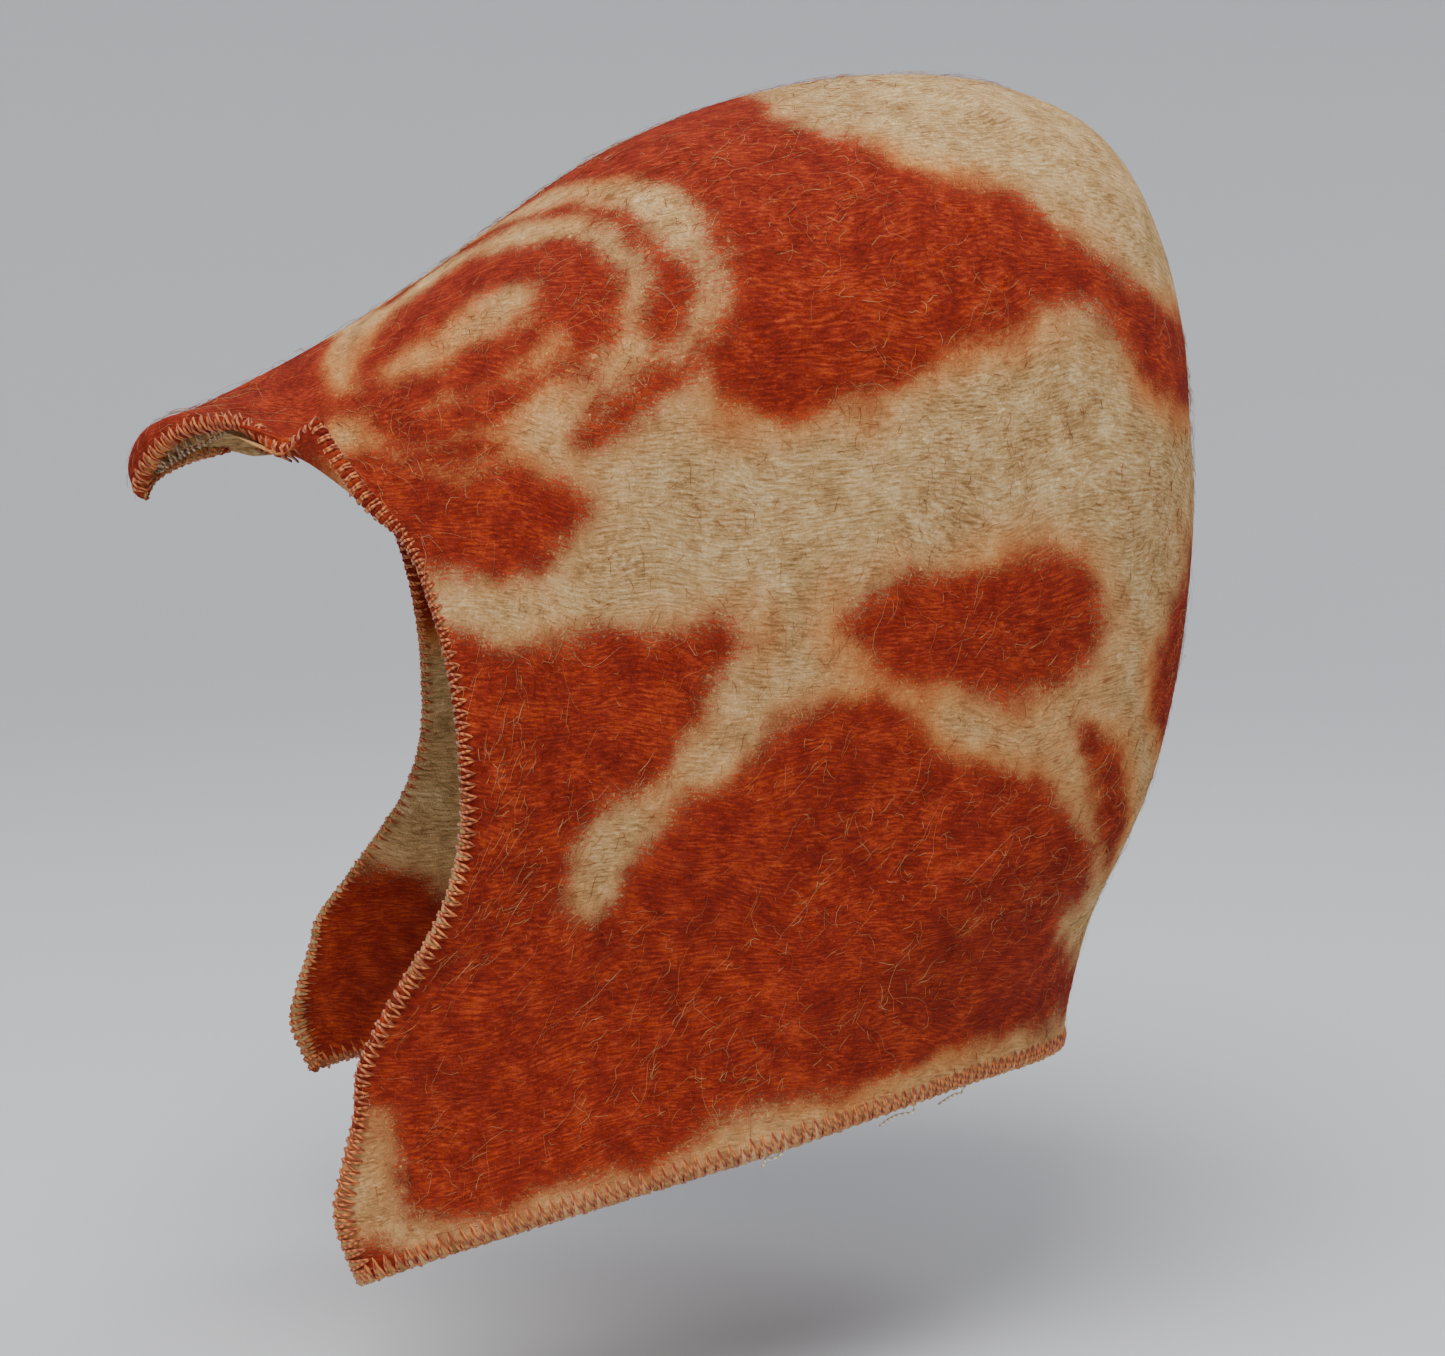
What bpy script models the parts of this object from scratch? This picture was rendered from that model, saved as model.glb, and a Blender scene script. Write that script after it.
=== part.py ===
"""A thick wool-felt hood with a beak-like peak, an open face and two loose neck flaps.

Each half is one piece of felt. The halves meet in a seam that runs from the tip of the peak, over
the crown, down to the hem, where both edges turn inward and are overlocked together. Every other
raw edge is overlocked too. The front of the neck on each side is a flap that swings about a fold,
so each half is split there into a panel and a flap.

Metres, +Z up. The wearer looks along -Y, and the wearer's left is +X. The origin is inside the top
of the crown, where the hood sits on the head. The form is worked out in millimetres.
"""

import math

import bmesh
import bpy
import numpy as np

MM = 0.001

# Driving dimensions, in millimetres.
FELT = 4.0  # thickness of the milled cloth
ALLOWANCE_DEEP = 5.0  # how far the turned-in seam edges reach below the felt
ALLOWANCE_THICK = 2.2  # each turned-in edge, pressed flat
CLEARANCE = 0.3  # between pieces that touch
CHORD_ROOM = 0.5  # more, for a thread roll that bends past the felt's straight cells
THREAD_BUNDLE = 2.4  # diameter of an overlocked edge's roll of thread
FOLD_GAP = 1.6  # between panel and flap at the fold
PEAK_TWIST = 15.0  # degrees that the soft peak turns to the wearer's right at its tip

# The centre seam's outer line on the middle plane, tip of the peak to hem, as (y, z).
SEAM_LINE = (
    (-206, -110), (-208.5, -102), (-207, -96), (-201, -91), (-191, -85.5), (-173, -76),
    (-151, -64), (-128, -49.5), (-105, -33), (-82, -18), (-56, -6.5), (-26, 1.5),
    (0, 4), (25, 1.5), (46, -8), (60, -22), (70, -39), (77, -60), (80.5, -88),
    (80.5, -118), (78, -146), (71, -174), (62, -199), (55, -224), (52, -246), (51, -268),
)
# The left half's other three edges as (x, y, z): the peak's rim from its tip to the temple, the
# face edge from the temple down to the flap's tip, and the hem from the seam to the flap's tip.
RIM_LINE = (
    (0, -206, -110), (7, -204, -104.5), (14, -200, -100), (22, -193, -96), (31, -184, -94),
    (40, -174, -93), (47, -166, -93), (51, -161, -89), (54, -158, -86),
)
FACE_LINE = (
    (54, -158, -86), (60, -151, -97), (66.5, -141, -111), (72, -134, -128), (76.5, -129.5, -146),
    (80, -127, -168), (80.5, -127, -186), (80, -131, -203), (79, -138.5, -218),
    (77, -147, -233), (76, -153, -246), (75, -154, -258), (74, -157, -271),
    (73, -159.5, -284), (73, -157, -294), (74, -154, -302),
)
HEM_LINE = (
    (0, 51, -268), (22, 46, -265.5), (44, 31, -262.5), (62, 7, -262), (75, -20, -265),
    (82, -50, -271), (84, -80, -278), (83, -110, -286), (79, -134, -294), (74, -154, -302),
)
# A rib runs from the seam to the face edge. It leaves the seam as a quarter oval of this half
# width and depth, against the rib's share of the way from the peak's rim to the hem.
RIB_WIDTH = (
    (0, 54), (10, 60), (20, 70), (30, 79), (42, 85), (55, 88), (68, 87), (80, 84), (100, 84),
)
RIB_DEPTH = (
    (0, 60), (10, 66), (20, 82), (30, 94), (42, 102), (55, 105), (68, 104), (80, 102), (100, 94),
)
ROUND_SHARE = 0.92  # of a short rib may be rounded at most
RIM_REACH = 0.12  # share of the ribs that still follow the rim's curve, fewer towards the temple
PEAK_REACH = 0.2  # share of the ribs that take their width from the rim
RIM_CALM = 0.03  # nearer the rim than this the cloth's thickness keeps one direction
HEM_REACH = 0.5  # from this share on, the ribs begin to follow the hem's curve
SKIRT_REACH = 0.85  # from this share on, the ribs take their width from the hem

# The peak turns about this fore-and-aft line, as (y, z), and the turn starts at the brow.
PEAK_AXIS = ((-208, -102), (-194, -88), (-183, -80), (-166, -71), (-148, -61))
BROW_Y = -153.0
PEAK_TIP_Y = -206.0
# The wearer's right flap stands further forward and higher at its tip than the left one.
RIGHT_FLAP_FORWARD = 9.0
RIGHT_FLAP_LIFT = 12.0

# The fold on which a flap swings: its ends as shares of the face edge and of the hem.
FOLD_TOP = 0.46
FOLD_FOOT = 0.70

# Where the thread roll is straight again after its turn at the temple, as a share of the face edge.
TEMPLE_TURN = 0.03

# Cells of the felt's grid along the seam and along a rib. The first ones crowd towards the peak.
CELLS_ALONG = 40
CELLS_ACROSS = 15
PEAK_CROWDING = 1.45

RUST_FELT = (0.42, 0.062, 0.010)
CREAM_FELT = (0.62, 0.48, 0.31)
ORANGE_THREAD = (0.55, 0.16, 0.035)


def smooth_line(points, samples=400):
    """A smooth curve through the points, with the running length at each sample."""
    given = np.array(points, float)
    run = np.append(0, np.cumsum(np.linalg.norm(np.diff(given, axis=0), axis=1)))
    slope = np.gradient(given, run, axis=0)
    where = np.linspace(0, run[-1], samples)
    i = np.clip(np.searchsorted(run, where, side="right") - 1, 0, len(run) - 2)
    step = (run[i + 1] - run[i])[:, None]
    t = ((where - run[i]) / step[:, 0])[:, None]
    curve = (2 * t**3 - 3 * t**2 + 1) * given[i] + (t**3 - 2 * t**2 + t) * step * slope[i]
    curve += (3 * t**2 - 2 * t**3) * given[i + 1] + (t**3 - t**2) * step * slope[i + 1]
    length = np.append(0, np.cumsum(np.linalg.norm(np.diff(curve, axis=0), axis=1)))
    return curve, length


def at_share(line, share):
    """Points at these shares of a smooth line's length."""
    curve, length = line
    where = np.asarray(share) * length[-1]
    return np.stack([np.interp(where, length, curve[:, k]) for k in range(curve.shape[1])], axis=-1)


def smooth_value(table, share):
    """A smooth function through (percent, value) pairs, read at shares from 0 to 1."""
    curve, _ = smooth_line(table, 200)
    return np.interp(100 * share, curve[:, 0], curve[:, 1])


def ease(value, low, high):
    """0 below low, 1 above high and a smooth step between."""
    t = np.clip((value - low) / (high - low), 0, 1)
    return t * t * (3 - 2 * t)


SEAM = smooth_line([(0, y, z) for y, z in SEAM_LINE])
RIM = smooth_line(RIM_LINE)
FACE = smooth_line(FACE_LINE)
HEM = smooth_line(HEM_LINE)


def between(share, first, last):
    """Points between first and last at that share."""
    return (1 - share)[..., None] * first + share[..., None] * last


def bow(line, ends, share):
    """How far a line lies from the straight one between its ends."""
    return at_share(line, share) - between(share, np.array(ends[0], float), np.array(ends[-1], float))


def half_surface(along, across):
    """The left half's outer face before it settles. along runs rim to hem, across seam to face edge."""
    along, across = np.broadcast_arrays(np.asarray(along, float), np.asarray(across, float))
    seam, face = at_share(SEAM, along), at_share(FACE, along)
    reach = np.linalg.norm((seam - face)[..., 1:], axis=-1)
    width = smooth_value(RIB_WIDTH, along)
    depth = (smooth_value(RIB_DEPTH, along) ** -4 + (ROUND_SHARE * reach) ** -4) ** -0.25
    arc = math.pi / 2 * np.sqrt((depth**2 + width**2) / 2)
    run = across * (arc + reach - depth)
    angle = np.clip(run / arc, 0, 1) * math.pi / 2
    down = np.where(run < arc, depth * (1 - np.cos(angle)), depth + run - arc)
    hollow = np.clip((down - depth / 2) / (reach - depth / 2), 0, 1) ** 2
    rib_x = np.where(run < arc, width * np.sin(angle), width) - (width - face[..., 0]) * hollow
    head = ease(along, 0, PEAK_REACH)
    share = across * (1 - head) + down / reach * head
    place = between(share, seam, face)
    rim_fade = ease(along, 0, RIM_REACH * (1.1 - share))
    place += (1 - rim_fade)[..., None] * bow(RIM, RIM_LINE, share)
    place += ease(along, HEM_REACH, 1)[..., None] * bow(HEM, HEM_LINE, share)
    rim_x = at_share(RIM, share)[..., 0] * face[..., 0] / RIM_LINE[-1][0]
    skirt = ease(along, SKIRT_REACH, 1)
    x = (rim_x * (1 - head) + rib_x * head) * (1 - skirt) + at_share(HEM, share)[..., 0] * skirt
    return np.stack([x, place[..., 1], place[..., 2]], axis=-1)


def unit(vectors):
    """The same directions at length 1."""
    return vectors / np.linalg.norm(vectors, axis=-1, keepdims=True)


def slopes(along, across):
    """Which way the left half's outer face runs towards the hem and towards the face edge."""
    step = 0.002
    near_a, far_a = np.clip(along - step, 0, 1), np.clip(along + step, 0, 1)
    near_b, far_b = np.clip(across - step, 0, 1), np.clip(across + step, 0, 1)
    down = half_surface(far_a, across) - half_surface(near_a, across)
    side = half_surface(along, far_b) - half_surface(along, near_b)
    return down, side


def directions(along, across):
    """Unit vectors of the left half: towards the hem, towards the face edge, and out of the cloth."""
    along, across = np.broadcast_arrays(np.asarray(along, float), np.asarray(across, float))
    down, side = slopes(along, across)
    calm_down, calm_side = slopes(np.maximum(along, RIM_CALM), across)
    out = np.cross(calm_side, calm_down)
    out[..., 0] = np.where(across == 0, 0, out[..., 0])  # the halves meet squarely at the seam
    return unit(down), unit(side), unit(out)


def settle(points, side):
    """Puts the half on its side (1 left, -1 right) and lets it hang as soft cloth does."""
    x, y, z = points[..., 0] * side, points[..., 1], points[..., 2]
    turn = math.radians(PEAK_TWIST) * ease(-y, -BROW_Y, -PEAK_TIP_Y)
    axis = np.array(PEAK_AXIS, float)
    height = np.interp(y, axis[:, 0], axis[:, 1])
    above = z - height
    right = ease(-x, 20, 50)
    forward = RIGHT_FLAP_FORWARD * right * ease(-y, 105, 153) * ease(-z, 186, 271)
    lift = RIGHT_FLAP_LIFT * right * ease(-y, 105, 153) * ease(-z, 226, 296)
    settled_x = x * np.cos(turn) - above * np.sin(turn)
    settled_z = height + x * np.sin(turn) + above * np.cos(turn)
    return np.stack([settled_x, y - forward, settled_z + lift], axis=-1)


def fold_plane():
    """A point on the left fold, the fold's direction upward, and the normal that faces the flap."""
    top, foot = half_surface(FOLD_TOP, 1.0), half_surface(1.0, FOLD_FOOT)
    up = (top - foot) / np.linalg.norm(top - foot)
    front = np.cross((1.0, 0.0, 0.0), up)
    front *= -np.sign(front[1]) / np.linalg.norm(front)
    return foot, up, front


def felt_points(grid, inner):
    """Places of the left half's grid points: grid holds (share along, row), and inner says which face."""
    along, row = grid[:, 0] ** PEAK_CROWDING, np.round(grid[:, 1] * (CELLS_ACROSS + 1))
    across = np.clip((row - 1) / CELLS_ACROSS, 0, 1)
    outer = half_surface(along, across)
    _, _, out = directions(along, across)
    outer[:, 0] += CLEARANCE / 2
    places = np.where(inner[:, None], outer - FELT * out, outer)
    at_seam = row <= 1
    places[at_seam, 0] = np.where(inner[at_seam], ALLOWANCE_THICK, 0) + CLEARANCE / 2
    turned = row == 0
    places[turned] -= (FELT + ALLOWANCE_DEEP - FELT * inner[turned])[:, None] * out[turned]
    return places


def closed_half():
    """The left half as one closed body of felt, seam allowance included, before it settles."""
    work = bmesh.new()
    bmesh.ops.create_grid(work, x_segments=CELLS_ALONG, y_segments=CELLS_ACROSS + 1, size=0.5)
    thick = bmesh.ops.extrude_face_region(work, geom=work.faces[:], use_keep_orig=True)
    inner_verts = {v for v in thick["geom"] if isinstance(v, bmesh.types.BMVert)}
    grid = np.array([(v.co.x + 0.5, v.co.y + 0.5) for v in work.verts])
    inner = np.array([v in inner_verts for v in work.verts])
    for vert, place in zip(work.verts, felt_points(grid, inner)):
        vert.co = place
    bmesh.ops.recalc_face_normals(work, faces=work.faces[:])
    return work


def cut_at_fold(work, keep_flap):
    """Cuts the half at its fold, a little to one side of it, and keeps the flap or the panel."""
    foot, _, front = fold_plane()
    sign = 1 if keep_flap else -1
    cut_at = foot + front * sign * FOLD_GAP / 2
    throat = half_surface(FOLD_TOP, 1.0)[2] + 30
    low = [f for f in work.faces if f.calc_center_median().z < throat]
    near = set(low) | {e for f in low for e in f.edges} | {v for f in low for v in f.verts}
    bmesh.ops.bisect_plane(work, geom=list(near), dist=1e-4, plane_co=cut_at, plane_no=front)

    def is_flap(face):
        centre = np.array(face.calc_center_median())
        return centre[2] < throat and (centre - cut_at) @ front > 0

    unwanted = [f for f in work.faces if is_flap(f) != keep_flap]
    bmesh.ops.delete(work, geom=unwanted, context="FACES")
    rim = [e for e in work.edges if e.is_boundary]
    bmesh.ops.edgeloop_fill(work, edges=rim)
    bmesh.ops.triangulate(work, faces=[f for f in work.faces if len(f.verts) > 4])
    bmesh.ops.recalc_face_normals(work, faces=work.faces[:])


def finish_mesh(work, name, side, material, collection):
    """Lets the mesh settle on its side, turns it to metres and makes it an object."""
    places = settle(np.array([v.co for v in work.verts]), side) * MM
    for vert, place in zip(work.verts, places):
        vert.co = place
    if work.calc_volume(signed=True) < 0:
        bmesh.ops.reverse_faces(work, faces=work.faces[:])
    mesh = bpy.data.meshes.new(name)
    work.to_mesh(mesh)
    work.free()
    mesh.shade_smooth()
    mesh.set_sharp_from_angle(angle=math.radians(40))
    mesh.materials.append(material)
    piece = bpy.data.objects.new(name, mesh)
    collection.objects.link(piece)
    return piece


def felt_piece(name, side, is_flap, material, collection):
    """One panel or flap of felt."""
    work = closed_half()
    cut_at_fold(work, is_flap)
    return finish_mesh(work, name, side, material, collection)


def edge_path(along, across):
    """The middle of the thread roll outside the felt's cut edge, at these places on the edge."""
    along, across = np.broadcast_arrays(np.asarray(along, float), np.asarray(across, float))
    down, side, out = directions(along, across)
    past_face, past_hem = unit(np.cross(down, out)), unit(np.cross(out, side))
    outward = np.where((across == 1)[:, None], past_face, 0)
    outward = outward + np.where((along == 1)[:, None], past_hem, 0)
    outward = outward - np.where((along == 0)[:, None], past_hem, 0)
    away = THREAD_BUNDLE / 2 + CLEARANCE + CHORD_ROOM
    path = half_surface(along, across) - out * FELT / 2 + outward * away
    path[:, 0] = np.maximum(path[:, 0], THREAD_BUNDLE / 2 + CLEARANCE)
    return path


def grid_shares(first, last, cells, crowding=1.0):
    """The felt grid's own shares between first and last, with both ends."""
    shares = (np.arange(cells + 1) / cells) ** crowding
    inside = shares[(shares > first) & (shares < last)]
    return np.array([first, *inside, last])


def seam_path():
    """The middle of the thread roll under the turned-in seam edges."""
    along = grid_shares(RIM_CALM, 0.995, CELLS_ALONG, PEAK_CROWDING)
    _, _, out = directions(along, np.zeros_like(along))
    below = FELT + ALLOWANCE_DEEP + CLEARANCE + THREAD_BUNDLE / 2
    path = half_surface(along, 0.0) - out * below
    path[:, 0] = 0
    return path


def thread_roll(name, path, side, material, collection):
    """A roll of overlocking thread along a path, as a bevelled curve."""
    curve = bpy.data.curves.new(name, "CURVE")
    curve.dimensions = "3D"
    curve.bevel_depth = THREAD_BUNDLE / 2 * MM
    curve.bevel_resolution = 1
    curve.use_fill_caps = True
    spline = curve.splines.new("POLY")
    spline.points.add(len(path) - 1)
    for point, place in zip(spline.points, settle(path, side) * MM):
        point.co = (*place, 1.0)
    curve.materials.append(material)
    piece = bpy.data.objects.new(name, curve)
    collection.objects.link(piece)
    return piece


def edge_threads(side, word, material, collection):
    """The three thread rolls on one half's raw edges: face, flap and hem."""
    face_gap = (FOLD_GAP / 2 + CLEARANCE) / FACE[1][-1]
    hem_gap = (FOLD_GAP / 2 + CLEARANCE) / HEM[1][-1]
    rim = grid_shares(0.06, 1.0, CELLS_ACROSS)
    face = grid_shares(TEMPLE_TURN, FOLD_TOP - face_gap, CELLS_ALONG, PEAK_CROWDING)
    face_edge = np.concatenate([edge_path(np.zeros_like(rim), rim), edge_path(face, np.ones_like(face))])
    thread_roll(f"{word}_face_edging", face_edge, side, material, collection)
    front = grid_shares(FOLD_TOP + face_gap, 1.0, CELLS_ALONG, PEAK_CROWDING)
    foot = grid_shares(FOLD_FOOT + hem_gap, 1.0, CELLS_ACROSS)[-2::-1]
    flap_edge = np.concatenate([edge_path(front, np.ones_like(front)), edge_path(np.ones_like(foot), foot)])
    thread_roll(f"{word}_flap_edging", flap_edge, side, material, collection)
    hem = grid_shares(0.02, FOLD_FOOT - hem_gap, CELLS_ACROSS)
    hem_edge = edge_path(np.ones_like(hem), hem)
    thread_roll(f"{word}_hem_edging", hem_edge, side, material, collection)


def make_material(name, colour, roughness):
    """A Principled material for dyed wool or thread."""
    material = bpy.data.materials.new(name)
    material.use_nodes = True
    shader = material.node_tree.nodes["Principled BSDF"]
    shader.inputs["Base Color"].default_value = (*colour, 1.0)
    shader.inputs["Roughness"].default_value = roughness
    shader.inputs["Metallic"].default_value = 0.0
    return material


def main():
    for old in list(bpy.data.objects):
        bpy.data.objects.remove(old)
    hood = bpy.data.collections.new("felt_hood")
    bpy.context.scene.collection.children.link(hood)
    thread = make_material("orange_overlock_thread", ORANGE_THREAD, 0.6)
    seam_thread = make_material("cream_seam_thread", CREAM_FELT, 0.6)
    for word, side in (("left", 1), ("right", -1)):
        felt = make_material(f"{word}_rust_wool_felt", RUST_FELT, 0.95)
        felt_piece(f"{word}_panel", side, False, felt, hood)
        flap_felt = make_material(f"{word}_flap_wool_felt", RUST_FELT, 0.95)
        felt_piece(f"{word}_front_flap", side, True, flap_felt, hood)
        edge_threads(side, word, thread, hood)
    thread_roll("centre_seam_thread", seam_path(), 1, seam_thread, hood)


main()
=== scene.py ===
"""The looks of a thick wool-felt hood with a beak-like peak, an open face and two neck flaps.

Each half of the hood is one piece of milled blanket wool, 4 mm thick, dyed in rust-orange blotches
on cream, with the colours changed over on its reverse. The halves meet in a seam from the tip of
the peak over the crown to the hem. Every raw edge is overlocked with orange thread, and the wool
swells between the stitches. The form repeats the CAD part's own lines, in millimetres.
"""

import logging
import math
from collections.abc import Callable
from dataclasses import dataclass, field
from enum import Enum
from functools import partial

import bmesh
import bpy
import numpy as np
from mathutils import Matrix, Vector


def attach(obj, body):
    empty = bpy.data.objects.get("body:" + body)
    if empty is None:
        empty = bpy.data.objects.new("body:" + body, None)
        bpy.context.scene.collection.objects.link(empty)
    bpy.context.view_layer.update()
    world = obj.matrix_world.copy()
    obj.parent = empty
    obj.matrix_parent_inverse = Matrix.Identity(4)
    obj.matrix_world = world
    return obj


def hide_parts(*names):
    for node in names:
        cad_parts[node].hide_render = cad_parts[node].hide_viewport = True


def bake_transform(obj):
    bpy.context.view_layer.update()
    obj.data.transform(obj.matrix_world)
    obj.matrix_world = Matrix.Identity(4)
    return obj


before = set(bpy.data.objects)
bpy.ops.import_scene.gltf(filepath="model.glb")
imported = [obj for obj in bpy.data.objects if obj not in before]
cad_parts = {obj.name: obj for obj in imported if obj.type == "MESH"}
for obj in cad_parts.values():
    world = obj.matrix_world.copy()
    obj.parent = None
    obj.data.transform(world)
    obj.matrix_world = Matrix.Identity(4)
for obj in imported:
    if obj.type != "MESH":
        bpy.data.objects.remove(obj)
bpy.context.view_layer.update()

LOG = logging.getLogger("felt_hood")
MM = 0.001
Points = list[tuple[float, ...]]
Array = np.ndarray
Piece = bpy.types.Object
Tree = bpy.types.NodeTree
Socket = bpy.types.NodeSocket
Add = Callable[..., bpy.types.Node]


class Side(Enum):
    """A half of the hood, on the wearer's left (+X) or right."""

    LEFT = 1
    RIGHT = -1

    @property
    def word(self) -> str:
        """The half's name as it stands in the names of pieces."""
        return self.name.lower()


def ease(value: Array, low: float, high: float) -> Array:
    """0 below low, 1 above high and a smooth step between."""
    t = np.clip((value - low) / (high - low), 0, 1)
    return t * t * (3 - 2 * t)


def unit(vectors: Array) -> Array:
    """The same directions at length 1."""
    return vectors / np.maximum(np.linalg.norm(vectors, axis=-1, keepdims=True), 1e-9)


class Line:
    """A smooth line through given points, read by share of its length."""

    def __init__(self, points: Points, samples: int = 400) -> None:
        """Draws the line.

        Args:
            points: The points that it passes through.
            samples: How many places it is worked out at.
        """
        given = np.array(points, float)
        run = np.append(0, np.cumsum(np.linalg.norm(np.diff(given, axis=0), axis=1)))
        slope = np.gradient(given, run, axis=0)
        where = np.linspace(0, run[-1], samples)
        i = np.clip(np.searchsorted(run, where, side="right") - 1, 0, len(run) - 2)
        step = (run[i + 1] - run[i])[:, None]
        t = (where - run[i])[:, None] / step
        curve = (2 * t**3 - 3 * t**2 + 1) * given[i] + (t**3 - 2 * t**2 + t) * step * slope[i]
        curve += (3 * t**2 - 2 * t**3) * given[i + 1] + (t**3 - t**2) * step * slope[i + 1]
        self.curve = curve
        self.run = np.append(0, np.cumsum(np.linalg.norm(np.diff(curve, axis=0), axis=1)))
        self.ends = given[[0, -1]]

    @property
    def length(self) -> float:
        """The line's length."""
        return float(self.run[-1])

    def at(self, share: Array) -> Array:
        """Points at these shares of the length."""
        where = np.asarray(share) * self.run[-1]
        return np.stack([np.interp(where, self.run, column) for column in self.curve.T], axis=-1)

    def value(self, share: Array) -> Array:
        """The line read as a function, at shares from 0 to 1 of a first column in percent."""
        return np.interp(100 * share, self.curve[:, 0], self.curve[:, 1])

    def bow(self, share: Array) -> Array:
        """How far the line lies from the straight one between its ends."""
        share = np.asarray(share)[..., None]
        return self.at(share[..., 0]) - ((1 - share) * self.ends[0] + share * self.ends[1])


@dataclass
class HoodForm:
    """The hood's outer face, in millimetres, as the CAD part has it.

    A place on a half is (along, across): along runs from the peak's rim to the hem, and across
    from the seam to the face edge, both from 0 to 1.
    """

    felt: float = 4.0
    allowance_deep: float = 5.0
    seam_gap: float = 0.3
    fold_top: float = 0.46
    fold_foot: float = 0.70
    peak_twist: float = 15.0
    round_share: float = 0.92
    rim_reach: float = 0.12
    peak_reach: float = 0.2
    hem_reach: float = 0.5
    skirt_reach: float = 0.85
    brow_y: float = -153.0
    peak_tip_y: float = -206.0
    right_flap_forward: float = 9.0
    right_flap_lift: float = 12.0
    temple_calm: tuple[float, float] = (0.035, 0.07)
    peak_axis: Points = ((-208, -102), (-194, -88), (-183, -80), (-166, -71), (-148, -61))
    seam: Line = field(default_factory=lambda: Line([
        (0, -206, -110), (0, -208.5, -102), (0, -207, -96), (0, -201, -91), (0, -191, -85.5),
        (0, -173, -76), (0, -151, -64), (0, -128, -49.5), (0, -105, -33), (0, -82, -18),
        (0, -56, -6.5), (0, -26, 1.5), (0, 0, 4), (0, 25, 1.5), (0, 46, -8), (0, 60, -22),
        (0, 70, -39), (0, 77, -60), (0, 80.5, -88), (0, 80.5, -118), (0, 78, -146),
        (0, 71, -174), (0, 62, -199), (0, 55, -224), (0, 52, -246), (0, 51, -268)]))
    rim: Line = field(default_factory=lambda: Line([
        (0, -206, -110), (7, -204, -104.5), (14, -200, -100), (22, -193, -96), (31, -184, -94),
        (40, -174, -93), (47, -166, -93), (51, -161, -89), (54, -158, -86)]))
    face: Line = field(default_factory=lambda: Line([
        (54, -158, -86), (60, -151, -97), (66.5, -141, -111), (72, -134, -128),
        (76.5, -129.5, -146), (80, -127, -168), (80.5, -127, -186), (80, -131, -203),
        (79, -138.5, -218), (77, -147, -233), (76, -153, -246), (75, -154, -258),
        (74, -157, -271), (73, -159.5, -284), (73, -157, -294), (74, -154, -302)]))
    hem: Line = field(default_factory=lambda: Line([
        (0, 51, -268), (22, 46, -265.5), (44, 31, -262.5), (62, 7, -262), (75, -20, -265),
        (82, -50, -271), (84, -80, -278), (83, -110, -286), (79, -134, -294), (74, -154, -302)]))
    rib_width: Line = field(default_factory=lambda: Line([
        (0, 54), (10, 60), (20, 70), (30, 79), (42, 85), (55, 88), (68, 87), (80, 84),
        (100, 84)], 200))
    rib_depth: Line = field(default_factory=lambda: Line([
        (0, 60), (10, 66), (20, 82), (30, 94), (42, 102), (55, 105), (68, 104),
        (80, 102), (100, 94)], 200))

    def surface(self, along: Array, across: Array) -> Array:
        """The left half's outer face before it settles.

        Args:
            along: Shares from the peak's rim to the hem.
            across: Shares from the seam to the face edge.

        Returns:
            Points as (..., 3).
        """
        along, across = np.broadcast_arrays(np.asarray(along, float), np.asarray(across, float))
        seam, face = self.seam.at(along), self.face.at(along)
        reach = np.linalg.norm((seam - face)[..., 1:], axis=-1)
        width = self.rib_width.value(along)
        depth = (self.rib_depth.value(along) ** -4 + (self.round_share * reach) ** -4) ** -0.25
        arc = math.pi / 2 * np.sqrt((depth**2 + width**2) / 2)
        run = across * (arc + reach - depth)
        angle = np.clip(run / arc, 0, 1) * math.pi / 2
        down = np.where(run < arc, depth * (1 - np.cos(angle)), depth + run - arc)
        hollow = np.clip((down - depth / 2) / (reach - depth / 2), 0, 1) ** 2
        rib_x = np.where(run < arc, width * np.sin(angle), width) - (width - face[..., 0]) * hollow
        head = ease(along, 0, self.peak_reach)
        share = across * (1 - head) + down / reach * head
        place = (1 - share)[..., None] * seam + share[..., None] * face
        rim_fade = ease(along / (self.rim_reach * (1.1 - share)), 0, 1)
        place += (1 - rim_fade)[..., None] * self.rim.bow(share)
        place += ease(along, self.hem_reach, 1)[..., None] * self.hem.bow(share)
        rim_x = self.rim.at(share)[..., 0] * face[..., 0] / self.rim.ends[1][0]
        skirt = ease(along, self.skirt_reach, 1)
        x = (rim_x * (1 - head) + rib_x * head) * (1 - skirt) + self.hem.at(share)[..., 0] * skirt
        return np.stack([x, place[..., 1], place[..., 2]], axis=-1)

    def directions(self, along: Array, across: Array) -> tuple[Array, ...]:
        """Which way the left half's cloth lies.

        Args:
            along: Shares from the peak's rim to the hem.
            across: Shares from the seam to the face edge.

        Returns:
            Unit vectors towards the hem, towards the face edge and out of the cloth, then the
            millimetres that a whole share of along and of across cover there.
        """
        along, across = np.broadcast_arrays(np.asarray(along, float), np.asarray(across, float))
        down, side, long_a, long_b = self.slopes(along, across)
        at_temple = ease(across, 0.5, 0.85) * (1 - ease(along, 0, 0.1))
        calm_a, calm_b = self.temple_calm
        calm_down, calm_side, _, _ = self.slopes(along + calm_a * at_temple,
                                                 across - calm_b * at_temple)
        out = np.cross(calm_side, calm_down)
        out[..., 0] = np.where(across == 0, 0, out[..., 0])
        return down, side, unit(out), long_a, long_b

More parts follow.
